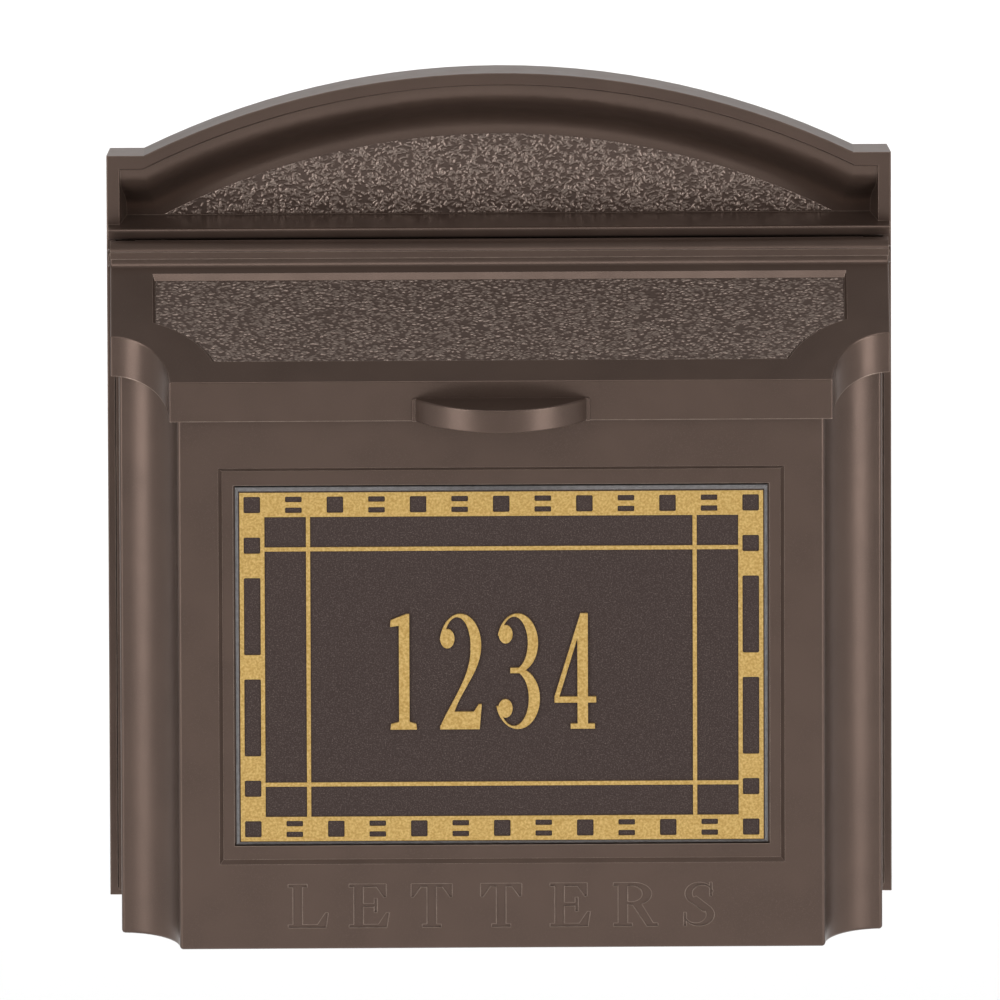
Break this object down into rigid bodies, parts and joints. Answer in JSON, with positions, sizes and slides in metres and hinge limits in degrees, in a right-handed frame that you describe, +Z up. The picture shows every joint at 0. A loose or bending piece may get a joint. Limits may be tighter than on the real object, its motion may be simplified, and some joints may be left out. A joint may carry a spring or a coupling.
{
  "type": "wall mailbox",
  "caption": "Wall-mounted cast mailbox with an arched crest, a sloped lift-up lid with a bow pull, and a framed address plaque on its front.",
  "frame": {"origin": "centre of the four wall holes, on the wall plane", "axes": "+Z up, +Y into the wall, so the front faces -Y; +X to the right of someone who faces the front"},
  "size_m": [0.3622, 0.1344, 0.395],
  "materials": {
    "coated_casting": "satin",
    "plaque_ground": "matte",
    "gold_relief": "satin",
    "steel_fastener": "satin",
    "nylon": "matte",
    "rubber": "matte"
  },
  "bodies": {
    "root": {"back_casting": "coated_casting", "front_shell": "coated_casting", "hinge_pin_left": "steel_fastener", "hinge_pin_right": "steel_fastener", "hinge_washer_left": "nylon", "hinge_washer_right": "nylon", "hinge_clip_left": "steel_fastener", "hinge_clip_right": "steel_fastener", "address_plaque": "plaque_ground", "plaque_border": "gold_relief", "house_numbers": "gold_relief", "plaque_gasket": "rubber", "plaque_studs": "steel_fastener", "plaque_washers": "steel_fastener", "plaque_nuts": "steel_fastener", "shell_screws": "steel_fastener", "lid_bumper_left": "rubber", "lid_bumper_right": "rubber"},
    "lid_assembly": {"lid": "coated_casting", "lid_pull": "coated_casting", "pull_screws": "steel_fastener"}
  },
  "joints": [
    {"name": "lid_hinge", "type": "hinge", "parent": "root", "child": "lid_assembly", "pos_m": [0, -0.0371, 0.1225], "axis": [-1, 0, 0], "range_deg": [0, 125]}
  ]
}
